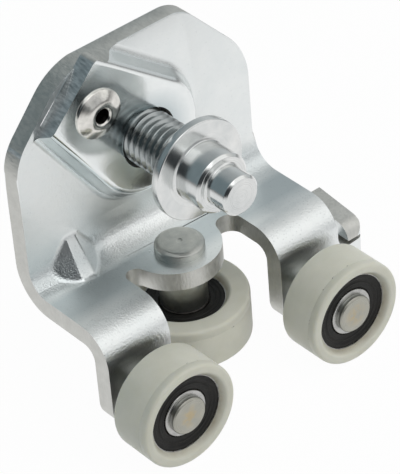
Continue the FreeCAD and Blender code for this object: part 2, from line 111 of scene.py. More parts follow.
def rounded_edges(piece, chosen, width, segments, clamp=True):
    """Rounds the edges of a piece in edit mode that pass a test."""
    bpy.ops.mesh.select_mode(type="EDGE")
    bpy.ops.mesh.select_all(action="DESELECT")
    shape = bmesh.from_edit_mesh(piece.data)
    for edge in shape.edges:
        edge.select_set(edge.is_manifold and chosen(edge))
    bmesh.update_edit_mesh(piece.data)
    bpy.ops.mesh.bevel(offset=width, segments=segments, affect="EDGES", clamp_overlap=clamp)


plate_front, plate_back = 23.0 * MM, 28.0 * MM
plate_bend_start, plate_bend_end = 17.5 * MM, -22.9 * MM
leg_bend_end, flange_top = 4.0 * MM, -36.9 * MM
tongue_reach = 12.5 * MM
lance_distance, pad_out = 29.2 * MM, Vector((-1, 0, 1)).normalized()
gusset_low = Vector((12.9, 16.2, -28.6)) * MM
gusset_high = Vector((32.1, 23.2, -18.4)) * MM
gusset_foot_round, rim_break = 0.9 * MM, 0.35 * MM
lug_start, lug_front = 36.9 * MM, -4.5 * MM
lug_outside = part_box("carriage_plate")[1].x
lug_inside = lug_outside - 5.4 * MM
lug_slot, slot_edge, slot_closing = -38.9 * MM, 0.35 * MM, 1.5 * MM
nose_round, bend_round, nose_steps = 3.4 * MM, 1.8 * MM, 6
nose_bottom = lug_slot - slot_closing - 0.4 * MM
lug_fall = math.tan(math.radians(8))


def in_gusset(point):
    """True at the foot or on the face of either gusset."""
    mirrored = (abs(point.x), point.y, point.z)
    return all(low < value < high for low, value, high in zip(gusset_low, mirrored, gusset_high))


def is_gusset_foot(edge):
    """True for the hollow edges at the foot of a gusset."""
    hollow = edge.calc_face_angle_signed() < -math.radians(14)
    return hollow and all(in_gusset(vert.co) for vert in edge.verts)


def on_plate_rim(edge):
    """True for the two long edges round the upright plate, above its bend and clear of the lance."""
    spots = [vert.co for vert in edge.verts]
    above_bend = all(spot.z > plate_bend_end + MM for spot in spots)
    off_lance = all(abs(spot.dot(pad_out) - lance_distance) > 2 * MM for spot in spots)
    on_face = any(all(abs(spot.y - face) < same_place for spot in spots)
                  for face in (plate_front, plate_back))
    return above_bend and off_lance and on_face and edge.calc_face_angle() > math.radians(65)


def pick_faces(piece, chosen):
    """Selects the faces of a piece in edit mode that pass a test, and no others."""
    bpy.ops.mesh.select_mode(type="FACE")
    bpy.ops.mesh.select_all(action="DESELECT")
    shape = bmesh.from_edit_mesh(piece.data)
    for face in shape.faces:
        face.select_set(chosen(face))
    bmesh.update_edit_mesh(piece.data)


def on_lug(face):
    """True for the faces of the stop lug, and those that run into it."""
    return any(vert.co.x > lug_inside for vert in face.verts)


def eased(depth, radius):
    """How far a round of this radius falls back, at a depth into it."""
    return radius - math.sqrt(max(radius ** 2 - max(depth, 0.0) ** 2, 0.0))


def is_sheared(face):
    """True for the sheared edges of the sheet, whose normals lie across its thickness."""
    spot, way = face.calc_center_median(), face.normal
    if spot.x > lug_start:
        return abs(way.x) < 0.1
    if spot.z > plate_bend_end or spot.z < flange_top:
        return abs(way.y) < 0.1
    if spot.y < plate_bend_start and (spot.y > leg_bend_end or abs(spot.x) < tongue_reach):
        return abs(way.z) < 0.1
    return abs(way.x) > 0.95


def is_lanced(face):
    """True for the torn faces of the lance, at the outer end of the pad."""
    out = face.calc_center_median().dot(pad_out)
    return abs(out - lance_distance) < 0.8 * MM and abs(face.normal.dot(pad_out)) > 0.95


def put(tree, kind, inputs=(), **settings):
    """Adds one node. A socket among its inputs is linked, and a plain value is set."""
    node = tree.nodes.new("ShaderNode" + kind)
    for key, value in settings.items():
        setattr(node, key, value)
    for key, value in dict(inputs).items():
        if isinstance(value, bpy.types.NodeSocket):
            tree.links.new(value, node.inputs[key])
        else:
            node.inputs[key].default_value = value
    return node


def mixed(tree, share, first, second):
    """Colour between two others."""
    return put(tree, "Mix", {0: share, 6: first, 7: second}, data_type="RGBA").outputs[2]


def between(tree, share, first, second):
    """Value between two others."""
    return put(tree, "Mix", {0: share, 2: first, 3: second}, data_type="FLOAT").outputs[0]


def ranged(tree, value, low, high, to_low, to_high):
    """Value brought from one range into another, held at its ends."""
    return put(tree, "MapRange", {"Value": value, "From Min": low, "From Max": high,
                                  "To Min": to_low, "To Max": to_high}).outputs["Result"]


def rising(tree, value, start, end):
    """Share that goes from 0 at the start to 1 at the end."""
    return ranged(tree, value, start, end, 0.0, 1.0)


def fading(tree, value, start, end):
    """Share that goes from 1 at the start to 0 at the end."""
    return ranged(tree, value, start, end, 1.0, 0.0)


def spread(tree, share, low, high):
    """Share from 0 to 1 brought into a range."""
    return ranged(tree, share, 0.0, 1.0, low, high)


def computed(tree, operation, *values):
    """Result of one Math node."""
    return put(tree, "Math", dict(enumerate(values)), operation=operation).outputs[0]


def times(tree, first, second):
    """Product of two values."""
    return computed(tree, "MULTIPLY", first, second)


def noise(tree, place, scale, detail, **inputs):
    """Noise between 0 and 1 over a place."""
    return put(tree, "TexNoise", {"Vector": place, "Scale": scale, "Detail": detail, **inputs}).outputs["Fac"]


def stretched_along(tree, place, scale):
    """A place whose pattern is drawn out along one axis."""
    return put(tree, "Mapping", {"Vector": place, "Scale": scale}).outputs[0]


def axes(tree, place):
    """The three coordinates of a place, by their letters."""
    return put(tree, "SeparateXYZ", {0: place}).outputs


def finish_of(name, metallic=1.0):
    """New material: its node tree, its shader and its Object coordinates."""
    material = bpy.data.materials.new(name)
    material.use_nodes = True
    tree = material.node_tree
    shader = tree.nodes["Principled BSDF"]
    shader.inputs["Metallic"].default_value = metallic
    place = put(tree, "TexCoord").outputs["Object"]
    return material, tree, shader, place


def finished(tree, shader, colour, roughness):
    """Gives a shader its colour and its roughness."""
    tree.links.new(colour, shader.inputs["Base Color"])
    tree.links.new(roughness, shader.inputs["Roughness"])


def roughened(tree, shader, height, strength, depth):
    """Bumps the surface of a finish by a height that changes over it."""
    bump = put(tree, "Bump", {"Strength": strength, "Distance": depth, "Height": height})
    tree.links.new(bump.outputs["Normal"], shader.inputs["Normal"])


def effect(name, inputs, outputs):
    """New node group with its sockets, and its inner input and output nodes."""
    group = bpy.data.node_groups.new(name, "ShaderNodeTree")
    for label, kind in inputs:
        group.interface.new_socket(name=label, in_out="INPUT", socket_type="NodeSocket" + kind)
    for label in outputs:
        group.interface.new_socket(name=label, in_out="OUTPUT", socket_type="NodeSocketFloat")
    return group, group.nodes.new("NodeGroupInput").outputs, group.nodes.new("NodeGroupOutput")


def placed(tree, group, **inputs):
    """A node group put into a material with its own values."""
    node = tree.nodes.new("ShaderNodeGroup")
    node.node_tree = group
    for key, value in inputs.items():
        socket = node.inputs[key]
        if isinstance(value, bpy.types.NodeSocket):
            tree.links.new(value, socket)
        else:
            socket.default_value = value
    return node.outputs


metal_skin, given, result = effect(
    "metal_skin", [("Place", "Vector"), ("Cloud", "Float"), ("Grain", "Float")], ["Cloud", "Grain", "Specks"])
cells_per_grain, plain_cells = 0.7, 0.62
cloud = noise(metal_skin, given["Place"], given["Cloud"], 5.0, Roughness=0.6)
grain = noise(metal_skin, given["Place"], given["Grain"], 2.0, Roughness=0.5)
cell_scale = times(metal_skin, given["Grain"], cells_per_grain)
cells = put(metal_skin, "TexVoronoi", {"Vector": given["Place"], "Scale": cell_scale}).outputs
pits = times(metal_skin, fading(metal_skin, cells["Distance"], 0.10, 0.42),
             computed(metal_skin, "GREATER_THAN", cells["Color"], plain_cells))
metal_skin.links.new(rising(metal_skin, cloud, 0.3, 0.7), result.inputs["Cloud"])
metal_skin.links.new(grain, result.inputs["Grain"])
metal_skin.links.new(pits, result.inputs["Specks"])

pad_rim, pad_foot = (21.5 * MM, 22.8 * MM), (-19.5 * MM, -17.5 * MM)
leg_bend_rear, leg_bend_low = (3.0 * MM, 6.0 * MM), (-40.0 * MM, -36.0 * MM)
plate_bend_near, plate_bend_high = (16.0 * MM, 19.0 * MM), (-24.0 * MM, -20.0 * MM)
shelf_near, shelf_far = (5.0 * MM, 9.0 * MM), (15.0 * MM, 18.0 * MM)
gusset_inner_end, stud_surround = (11.0 * MM, 15.0 * MM), (8.0 * MM, 13.0 * MM)
roller_top, left_half = (-37.5 * MM, -35.5 * MM), (-10.0 * MM, 10.0 * MM)
# Shares and colours of the painted light on the zinc: blue grey painted shade, a near white painted
# highlight, and painted shade by the roller.
shelf_shade, gusset_shade, bend_highlight, roller_shade = 0.85, 0.5, 0.7, 0.55
zinc_dim, zinc_pale = (0.755, 0.785, 0.785, 1), (0.85, 0.87, 0.865, 1)
zinc_shade_blue, zinc_highlight = (0.545, 0.60, 0.615, 1), (0.95, 0.97, 0.965, 1)
zinc_roller_shade, pit_grey = (0.36, 0.36, 0.345, 1), (0.20, 0.21, 0.22, 1)
zinc, tree, shader, place = finish_of("zinc_plated_sheet")
skin = placed(tree, metal_skin, Place=place, Cloud=110.0, Grain=2200.0)
along, back, high = axes(tree, place)
aside = computed(tree, "ABSOLUTE", along)
from_stud = computed(tree, "SQRT", computed(tree, "ADD", times(tree, along, along), times(tree, high, high)))
polished = times(tree, fading(tree, back, *pad_rim), rising(tree, high, *pad_foot))
leg_bend = times(tree, fading(tree, back, *leg_bend_rear), rising(tree, high, *leg_bend_low))
plate_bend = times(tree, rising(tree, back, *plate_bend_near), fading(tree, high, *plate_bend_high))
stretched = computed(tree, "MAXIMUM", leg_bend, plate_bend)
# Painted shade: blue grey on the shelf and the gussets, and a dark bluish painted reflection of the stud on
# the pad round it.
on_shelf = times(tree, ranged(tree, back, *shelf_near, 0.0, shelf_shade), fading(tree, back, *shelf_far))
on_gusset = times(tree, plate_bend, ranged(tree, aside, *gusset_inner_end, 0.0, gusset_shade))
stud_reflection = times(tree, polished, fading(tree, from_stud, *stud_surround))
# Painted highlight: near white along the middle of the plate's bend, between the gussets.
bend_highlighting = times(tree, plate_bend, ranged(tree, aside, *gusset_inner_end, bend_highlight, 0.0))
# Painted shade: darker on the left flange just above its roller.
roller_shading = times(tree, ranged(tree, high, *roller_top, roller_shade, 0.0), fading(tree, along, *left_half))
blue_shade = computed(tree, "MAXIMUM", computed(tree, "MAXIMUM", on_shelf, on_gusset), stud_reflection)
blue_shaded = mixed(tree, blue_shade, mixed(tree, skin["Cloud"], zinc_dim, zinc_pale), zinc_shade_blue)
highlighted = mixed(tree, bend_highlighting, blue_shaded, zinc_highlight)
colour = mixed(tree, roller_shading, highlighted, zinc_roller_shade)
speckled = times(tree, skin["Specks"], between(tree, stretched, 0.14, 0.22))
dull, bright = spread(tree, skin["Cloud"], 0.27, 0.37), spread(tree, skin["Cloud"], 0.09, 0.17)
finished(tree, shader, mixed(tree, speckled, colour, pit_grey), between(tree, polished, dull, bright))
grainy = between(tree, polished, between(tree, stretched, 0.25, 1.0), 0.08)
roughened(tree, shader, times(tree, skin["Grain"], grainy), 0.8, 0.13 * MM)

sheared_dim, sheared_pale = (0.52, 0.52, 0.495, 1), (0.69, 0.69, 0.66, 1)
below_bend = (-25.5 * MM, -24.5 * MM)
through_shelf, through_plate = (1.0, 1.0, 0.4), (1.0, 0.4, 1.0)
sheared_steel, tree, shader, place = finish_of("sheared_edge")
skin = placed(tree, metal_skin, Place=place, Cloud=260.0, Grain=2400.0)
upright = rising(tree, axes(tree, place)["Z"], *below_bend)
runs = [noise(tree, stretched_along(tree, place, scale), 1700.0, 3.0)
        for scale in (through_shelf, through_plate)]
streaks = rising(tree, between(tree, upright, *runs), 0.32, 0.68)
shade = times(tree, computed(tree, "ADD", streaks, skin["Cloud"]), 0.5)
finished(tree, shader, mixed(tree, shade, sheared_dim, sheared_pale), spread(tree, streaks, 0.40, 0.56))
roughened(tree, shader, streaks, 0.5, 0.08 * MM)

torn_dim, torn_pale = (0.40, 0.435, 0.445, 1), (0.80, 0.82, 0.825, 1)
lanced_steel, tree, shader, place = finish_of("lanced_face")
skin = placed(tree, metal_skin, Place=place, Cloud=500.0, Grain=2400.0)
tears = noise(tree, stretched_along(tree, place, (1.0, 0.25, 1.0)), 1500.0, 3.0)
colour = mixed(tree, rising(tree, tears, 0.3, 0.7), torn_dim, torn_pale)
finished(tree, shader, colour, spread(tree, skin["Cloud"], 0.35, 0.5))
roughened(tree, shader, tears, 0.6, 0.1 * MM)

carriage = merged_copy("carriage_plate", "pressed_carriage")
only(carriage)
bpy.ops.object.mode_set(mode="EDIT")
for step in range(nose_steps):
    share = 1 - math.sin(step * math.pi / 2 / nose_steps)
    for cut, way in (((lug_outside - bend_round * share, 0, 0), (1, 0, 0)),
                     ((0, lug_front + nose_round * share, 0), (0, 1, 0))):
        pick_faces(carriage, on_lug)
        bpy.ops.mesh.bisect(plane_co=cut, plane_no=way, threshold=welded)
shape = bmesh.from_edit_mesh(carriage.data)
for vert in shape.verts:
    spot = vert.co
    if spot.x > lug_inside and abs(spot.z - lug_slot) < slot_edge:
        spot.z -= slot_closing
    if spot.x > lug_inside and spot.y < lug_front + nose_round + slot_closing:
        spot.y = max(spot.y, lug_front + eased(spot.x - lug_outside + bend_round, bend_round))
        into_nose = lug_front + nose_round - spot.y
        if into_nose > 0 and spot.z > nose_bottom:
            crest = flange_top + (spot.y - lug_front) * lug_fall
            spot.z = min(spot.z, crest - eased(into_nose, nose_round))
bmesh.update_edit_mesh(carriage.data)
bpy.ops.mesh.select_all(action="SELECT")
bpy.ops.mesh.remove_doubles(threshold=same_place)
bpy.ops.mesh.dissolve_degenerate(threshold=same_place)
rounded_edges(carriage, is_gusset_foot, gusset_foot_round, 3)
rounded_edges(carriage, on_plate_rim, rim_break, 2, clamp=False)
only(carriage)
bpy.ops.object.shade_smooth_by_angle(angle=smooth_below)
for finish in (zinc, sheared_steel, lanced_steel):
    carriage.data.materials.append(finish)
bpy.ops.object.mode_set(mode="EDIT")
for number, chosen in ((1, is_sheared), (2, is_lanced)):
    pick_faces(carriage, chosen)
    carriage.active_material_index = number
    bpy.ops.object.material_slot_assign()
only(carriage)
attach(carriage, "carriage")
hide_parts("carriage_plate")

# Nut plate: a thick tapped plate of the same zinc plated steel, lying in the hollow behind the pad.
# The stud screws into its large end and the blind rivet passes through its small end.
nut_plate_break = 0.4 * MM
nut_plate = merged_copy("nut_plate", "tapped_nut_plate")
only(nut_plate)
bpy.ops.object.mode_set(mode="EDIT")
rounded_edges(nut_plate, lambda edge: edge.calc_face_angle() > math.radians(40), nut_plate_break, 2)
only(nut_plate)
bpy.ops.object.shade_smooth_by_angle(angle=smooth_below)
nut_plate.data.materials.append(zinc)
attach(nut_plate, "carriage")
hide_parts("nut_plate")

# Blind rivet: a bright hollow steel rivet with a low domed head on the pad and a bulged tail behind.
# It is set by pulling the mandrel, whose broken stem stays deep in the bore. The bore and the stem are
# painted near black, as painted shade.


def seat_at(point, axis):
    """Frame of a turned piece: its Z runs along the axis and its X along the rail."""
    along = Vector((1, 0, 0))
    axis = Vector(axis).normalized()
    turn = Matrix((along, axis.cross(along), axis)).transposed().to_4x4()
    return Matrix.Translation(Vector(point)) @ turn


def reach(node, seat):
    """Where a solid starts and ends along the seat's axis, and how far it reaches across."""
    low, high = (seat.inverted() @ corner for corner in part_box(node))
    return min(low.z, high.z), max(low.z, high.z), abs(high.x - low.x) / 2


def drawn_profile(name, corners, closed):
    """Outline drawn corner by corner, as (radius, height, rounding), with its corners rounded."""
    if bpy.context.mode != "OBJECT":
        bpy.ops.object.mode_set(mode="OBJECT")
    bpy.ops.object.select_all(action="DESELECT")
    bpy.ops.mesh.primitive_plane_add(size=MM, location=(0, 0, 0))
    piece = bpy.context.object
    piece.name = name
    bpy.ops.object.mode_set(mode="EDIT")
    bpy.ops.mesh.select_mode(type="VERT")
    bpy.ops.mesh.select_all(action="SELECT")
    bpy.ops.mesh.merge(type="CENTER")
    bpy.ops.transform.translate(value=(corners[0][0], 0, corners[0][1]))
    for last, corner in zip(corners, corners[1:]):
        step = (corner[0] - last[0], 0, corner[1] - last[1])
        bpy.ops.mesh.extrude_vertices_move(TRANSFORM_OT_translate={"value": step})
    if closed:
        outline = bmesh.from_edit_mesh(piece.data)
        for vert in outline.verts:
            vert.select_set(len(vert.link_edges) == 1)
        bmesh.update_edit_mesh(piece.data)
        bpy.ops.mesh.edge_face_add()
    for radius, height, rounding in corners:
        if rounding:
            corner = Vector((radius, 0, height))
            outline = bmesh.from_edit_mesh(piece.data)
            for vert in outline.verts:
                vert.select_set((vert.co - corner).length < welded)
            outline.select_flush(False)
            bmesh.update_edit_mesh(piece.data)
            bpy.ops.mesh.bevel(offset=rounding, segments=5, affect="VERTICES")
    return piece


def set_on(piece, seat):
    """Puts a piece that was made about Z on its seat, with its place in its mesh."""
    only(piece)
    piece.matrix_world = seat
    bpy.ops.object.transform_apply(location=True, rotation=True, scale=True)


def spun(name, corners, closed=True, steps=96):
    """Turned piece about Z: its outline spun round the axis, merged and turned outwards."""
    piece = drawn_profile(name, corners, closed)
    bpy.ops.mesh.select_all(action="SELECT")
    bpy.ops.mesh.spin(steps=steps, angle=2 * math.pi, center=(0, 0, 0), axis=(0, 0, 1))
    bpy.ops.mesh.select_all(action="SELECT")
    bpy.ops.mesh.remove_doubles(threshold=welded)
    bpy.ops.mesh.normals_make_consistent(inside=False)
    only(piece)
    bpy.ops.object.shade_smooth_by_angle(angle=smooth_below)
    return piece


def clouded(tree, shader, skin, dim, pale, smooth, rough):
    """Colour and roughness that both follow the clouds of a skin."""
    finished(tree, shader, mixed(tree, skin["Cloud"], dim, pale), spread(tree, skin["Cloud"], smooth, rough))


forward = (0, -1, 0)
rivet_low, rivet_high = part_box("blind_rivet")
rivet_centre = (rivet_low + rivet_high) / 2
rivet_seat = seat_at((rivet_centre.x, rivet_low.y, rivet_centre.z), forward)
rivet_end, rivet_top, head = reach("blind_rivet", rivet_seat)
head_height, grip, tail_length = 2.0 * MM, 11.0 * MM, 2.5 * MM
rivet_under = rivet_top - head_height
rivet_grip = rivet_under - grip
bore, shank, tail = 1.9 * MM, 3.2 * MM, 4.5 * MM
rivet = spun("set_blind_rivet", [
    (bore, rivet_top - 0.35 * MM, 0.1 * MM),
    (bore + 0.45 * MM, rivet_top, 0.2 * MM),
    (bore + 1.5 * MM, rivet_top - 0.05 * MM, 0.7 * MM),
    (head - 1.1 * MM, rivet_under + 1.1 * MM, 1.0 * MM),
    (head, rivet_under + 0.45 * MM, 0.25 * MM),
    (head, rivet_under, 0),
    (shank, rivet_under, 0),
    (shank, rivet_grip, 0),
    (tail, rivet_grip, 0.5 * MM),
    (tail, rivet_grip - tail_length, 1.0 * MM),
    (shank, rivet_end, 0),
    (bore, rivet_end, 0),
])

rivet_steel, tree, shader, place = finish_of("bright_rivet_steel")
skin = placed(tree, metal_skin, Place=place, Cloud=420.0, Grain=2600.0)
clouded(tree, shader, skin, (0.54, 0.53, 0.50, 1), (0.80, 0.785, 0.745, 1), 0.08, 0.20)
roughened(tree, shader, skin["Cloud"], 0.3, 0.06 * MM)

# Near black steel: painted shade in the rivet's bore, on the mandrel's stem and on the guide's inner ring.
shade_black_steel, tree, shader, place = finish_of("painted_shade_black")
skin = placed(tree, metal_skin, Place=place, Cloud=900.0, Grain=2600.0)
clouded(tree, shader, skin, (0.030, 0.028, 0.026, 1), (0.10, 0.095, 0.09, 1), 0.35, 0.6)

for finish in (rivet_steel, shade_black_steel):
    rivet.data.materials.append(finish)
bpy.ops.object.mode_set(mode="EDIT")
pick_faces(rivet, lambda face: all(vert.co.xy.length < bore + 0.02 * MM for vert in face.verts))
rivet.active_material_index = 1
bpy.ops.object.material_slot_assign()
set_on(rivet, rivet_seat)
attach(rivet, "carriage")
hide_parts("blind_rivet")
# The mandrel's stem takes the near black painted shade.
frame["nodes"]["rivet_mandrel"].data.materials.clear()
frame["nodes"]["rivet_mandrel"].data.materials.append(shade_black_steel)

# Pivot stud: turned from bright steel bar, with a stepped nose, a journal, a thin collar and a coarse
# 14 mm thread. It is screwed through the pad into the nut plate, so most of its thread stays in sight.
stud_seat = seat_at((0, 0, 0), forward)
stud_end, nose_end, collar = reach("pivot_stud", stud_seat)
collar_back = -2.25 * MM
journal, journal_end = 7.6 * MM, 8.0 * MM
nose = 5.2 * MM
thread, pitch, thread_depth = 7.0 * MM, 2.0 * MM, 1.15 * MM
root = thread - thread_depth
chamfer, chamfer_round, facing_dip = 0.7 * MM, 0.12 * MM, 0.06 * MM
stud = spun("turned_pivot_stud", [
    (0, collar_back - 0.6 * MM, 0),
    (root, collar_back - 0.6 * MM, 0),
    (root, collar_back, 0),
    (collar, collar_back, 0.3 * MM),
    (collar, 0, 0.3 * MM),
    (journal + 0.7 * MM, 0, 0.1 * MM),
    (journal, 0.25 * MM, 0.15 * MM),
    (journal, journal_end - chamfer, chamfer_round),
    (journal - chamfer, journal_end, chamfer_round),
    (nose + 0.5 * MM, journal_end, 0.1 * MM),
    (nose, journal_end + 0.3 * MM, 0.15 * MM),
    (nose, nose_end - chamfer, chamfer_round),
    (nose - chamfer, nose_end, chamfer_round),
    (nose - 1.0 * MM, nose_end - facing_dip, 0),
    (0, nose_end - facing_dip, 0),
], closed=False, steps=128)

flank, crest_flat, thread_round = 0.68 * MM, 0.32 * MM, 0.1 * MM
root_flat = pitch - 2 * flank - crest_flat
turns = math.ceil((collar_back - stud_end) / pitch) + 3
steps_a_turn = 56
start = stud_end - 1.37 * pitch
helix = drawn_profile("stud_thread", [
    (root, start, 0),
    (root, start + root_flat, thread_round),
    (thread, start + root_flat + flank, thread_round),
    (thread, start + root_flat + flank + crest_flat, thread_round),
    (root, start + pitch, 0),
], closed=False)
only(helix)
winding = helix.modifiers.new("winding", "SCREW")
winding.screw_offset = pitch
winding.iterations = turns
winding.steps = steps_a_turn
winding.render_steps = steps_a_turn
winding.use_merge_vertices = True
winding.merge_threshold = welded
bpy.ops.object.modifier_apply(modifier=winding.name)
bpy.ops.object.mode_set(mode="EDIT")
for height, away in ((collar_back + 0.3 * MM, 1), (stud_end, -1)):
    bpy.ops.mesh.select_all(action="SELECT")
    bpy.ops.mesh.bisect(plane_co=(0, 0, height), plane_no=(0, 0, away), use_fill=True, clear_outer=True,
                        threshold=welded)
bpy.ops.mesh.select_all(action="SELECT")
bpy.ops.mesh.remove_doubles(threshold=welded)
bpy.ops.mesh.normals_make_consistent(inside=False)
only(stud)
screwing = stud.modifiers.new("thread", "BOOLEAN")
screwing.operation = "UNION"
screwing.object = helix
screwing.solver = "EXACT"
bpy.ops.object.modifier_apply(modifier=screwing.name)
bpy.data.objects.remove(helix)
bpy.ops.object.shade_smooth_by_angle(angle=smooth_below)
set_on(stud, stud_seat)

turning_marks, given, result = effect(
    "turning_marks", [("Place", "Vector"), ("Spacing", "Float")], ["Rings", "Radius"])
split = axes(turning_marks, given["Place"])
flat_place = put(turning_marks, "CombineXYZ", {0: split["X"], 1: split["Y"], 2: 0.0}).outputs[0]
from_axis = put(turning_marks, "VectorMath", {0: flat_place}, operation="LENGTH").outputs["Value"]
marks = []
for run in (from_axis, split["Z"]):
    count = computed(turning_marks, "DIVIDE", run, given["Spacing"])
    fine = put(turning_marks, "TexNoise", {"W": count, "Scale": 1.0, "Detail": 3.0}, noise_dimensions="1D")
    marks.append(fine.outputs["Fac"])
both_ways = times(turning_marks, computed(turning_marks, "ADD", *marks), 0.5)
turning_marks.links.new(both_ways, result.inputs["Rings"])
turning_marks.links.new(from_axis, result.inputs["Radius"])


def about(tree, place, seat):
    """Object coordinates brought to a turned piece's own axis."""
    return put(tree, "Mapping", {"Vector": place, "Location": seat.translation, "Rotation": seat.to_euler()},
               vector_type="TEXTURE").outputs[0]


turned_dim, turned_pale = (0.62, 0.64, 0.64, 1), (0.77, 0.775, 0.765, 1)
thread_shade_dark, score_grey = (0.30, 0.325, 0.33, 1), (0.36, 0.36, 0.35, 1)
thread_start, thread_edge = (-2.23 * MM, -2.1 * MM), (7.1 * MM, 7.4 * MM)
thread_shade_share, score_share = 0.85, 0.35
bright_steel, tree, shader, place = finish_of("turned_bright_steel")
skin = placed(tree, metal_skin, Place=place, Cloud=160.0, Grain=2200.0)
centred = about(tree, place, stud_seat)
turned = placed(tree, turning_marks, Place=centred, Spacing=0.22 * MM)
# Painted shade: the thread is coloured darker than the turned steel round it.
behind_collar = ranged(tree, axes(tree, centred)["Z"], *thread_start, thread_shade_share, 0.0)
shaded_thread = times(tree, behind_collar, fading(tree, turned["Radius"], *thread_edge))
colour = mixed(tree, shaded_thread, mixed(tree, skin["Cloud"], turned_dim, turned_pale), thread_shade_dark)
scored = times(tree, rising(tree, turned["Rings"], 0.55, 0.7), score_share)
finished(tree, shader, mixed(tree, scored, colour, score_grey),
         ranged(tree, turned["Rings"], 0.3, 0.7, 0.10, 0.24))
roughened(tree, shader, turned["Rings"], 0.35, 0.03 * MM)
stud.data.materials.append(bright_steel)
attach(stud, "carriage")
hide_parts("pivot_stud")

# Axles: stepped steel pins, one for each roller, headed against the sheet and turned to a shoulder.
# The end that carries the bearing is riveted over cold, which leaves a flat face, coloured darker and warm
# brown towards its middle.
rollers = {}
for joint in frame["joints"]:
    if joint["name"].endswith("_roller_spin"):
        rollers[joint["name"].split("_")[0]] = seat_at(joint["pos_m"], joint["axis"])


def copied(pattern, name, seat):
    """Copy of a pattern piece, with a mesh of its own, set on its seat."""
    only(pattern)
    bpy.ops.object.duplicate()
    piece = bpy.context.object
    piece.name = name
    set_on(piece, seat)
    return piece


def axle_pattern(roller, shoulder):
    """One axle about Z, from its head to its riveted end."""
    head_end, end, head = reach(roller + "_axle", rollers[roller])
    ring_start, ring_end = reach(roller + "_inner_ring", rollers[roller])[:2]
    sheet_rear = head_end + 2.4 * MM
    sheet_fore = sheet_rear + 5.0 * MM
    spigot, bearing_seat, riveted = 4.5 * MM, 3.98 * MM, 4.85 * MM
    head_dimple, end_dimple = 0.25 * MM, 0.16 * MM
    return spun("axle_pattern", [
        (0, head_end + head_dimple, 0),
        (0.5 * MM, head_end + head_dimple, 0.1 * MM),
        (0.8 * MM, head_end + 0.05 * MM, 0.15 * MM),
        (head - 1.0 * MM, head_end, 0.3 * MM),
        (head, head_end + 0.6 * MM, 0.35 * MM),
        (head, sheet_rear, 0),
        (spigot, sheet_rear, 0),
        (spigot, sheet_fore, 0),
        (shoulder, sheet_fore, 0),
        (shoulder, ring_start, 0.15 * MM),
        (bearing_seat, ring_start, 0),
        (bearing_seat, ring_end, 0),
        (riveted, ring_end, 0.1 * MM),
        (riveted, end - 0.4 * MM, 0.15 * MM),
        (riveted - 0.45 * MM, end, 0.2 * MM),
        (1.7 * MM, end - 0.06 * MM, 0.4 * MM),
        (0.9 * MM, end - end_dimple, 0.2 * MM),
        (0, end - end_dimple, 0),
    ], closed=False, steps=80)


axle_dim, axle_pale = (0.44, 0.455, 0.435, 1), (0.58, 0.585, 0.55, 1)
end_grey, patch_brown = (0.30, 0.285, 0.23, 1), (0.46, 0.37, 0.22, 1)
riveted_face, patch_reach = (4.2 * MM, 4.8 * MM), (1.0 * MM, 3.6 * MM)
end_darkening, patch_share, cloud_height = 0.6, 0.75, 0.8


def axle_finish(roller):
    """Dull turned steel with ring marks about the axle, darker and warm brown on the riveted end."""
    material, tree, shader, place = finish_of(roller + "_axle_steel")
    centred = about(tree, place, rollers[roller])
    skin = placed(tree, metal_skin, Place=place, Cloud=380.0, Grain=2600.0)
    turned = placed(tree, turning_marks, Place=centred, Spacing=0.3 * MM)
    # The riveted end is coloured darker, and warm brown towards its middle.
    at_end = rising(tree, axes(tree, centred)["Z"], *riveted_face)
    at_middle = ranged(tree, turned["Radius"], *patch_reach, patch_share, 0.0)
    warm_patch = times(tree, times(tree, at_end, at_middle), rising(tree, skin["Cloud"], 0.35, 0.7))
    base = mixed(tree, skin["Cloud"], axle_dim, axle_pale)
    darkened_end = mixed(tree, times(tree, at_end, end_darkening), base, end_grey)
    finished(tree, shader, mixed(tree, warm_patch, darkened_end, patch_brown),
             ranged(tree, turned["Rings"], 0.3, 0.7, 0.26, 0.46))
    marks = computed(tree, "ADD", turned["Rings"], times(tree, skin["Cloud"], cloud_height))
    roughened(tree, shader, marks, 0.5, 0.07 * MM)
    return material


track_axle = axle_pattern("left", 5.2 * MM)
guide_axle = axle_pattern("guide", 5.9 * MM)
for roller, seat in rollers.items():
    axle = copied(guide_axle if roller == "guide" else track_axle, roller + "_riveted_axle", seat)
    axle.data.materials.append(axle_finish(roller))
    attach(axle, "carriage")
    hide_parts(roller + "_axle")
for pattern in (track_axle, guide_axle):
    bpy.data.objects.remove(pattern)

# Ball bearings: hardened and ground steel rings and balls, with a moulded snap cage between the balls.
# The inner ring is clamped on the axle, the outer ring is held in the tyre.
bearing_steel, tree, shader, place = finish_of("ground_bearing_steel")
skin = placed(tree, metal_skin, Place=place, Cloud=500.0, Grain=4000.0)
clouded(tree, shader, skin, (0.34, 0.34, 0.335, 1), (0.52, 0.515, 0.50, 1), 0.20, 0.36)
roughened(tree, shader, skin["Grain"], 0.2, 0.03 * MM)

cage_plastic, tree, shader, place = finish_of("moulded_cage", metallic=0.0)
skin = placed(tree, metal_skin, Place=place, Cloud=600.0, Grain=3000.0)
colour = mixed(tree, skin["Cloud"], (0.60, 0.50, 0.34, 1), (0.68, 0.58, 0.42, 1))
finished(tree, shader, colour, ranged(tree, skin["Grain"], 0.3, 0.7, 0.4, 0.55))

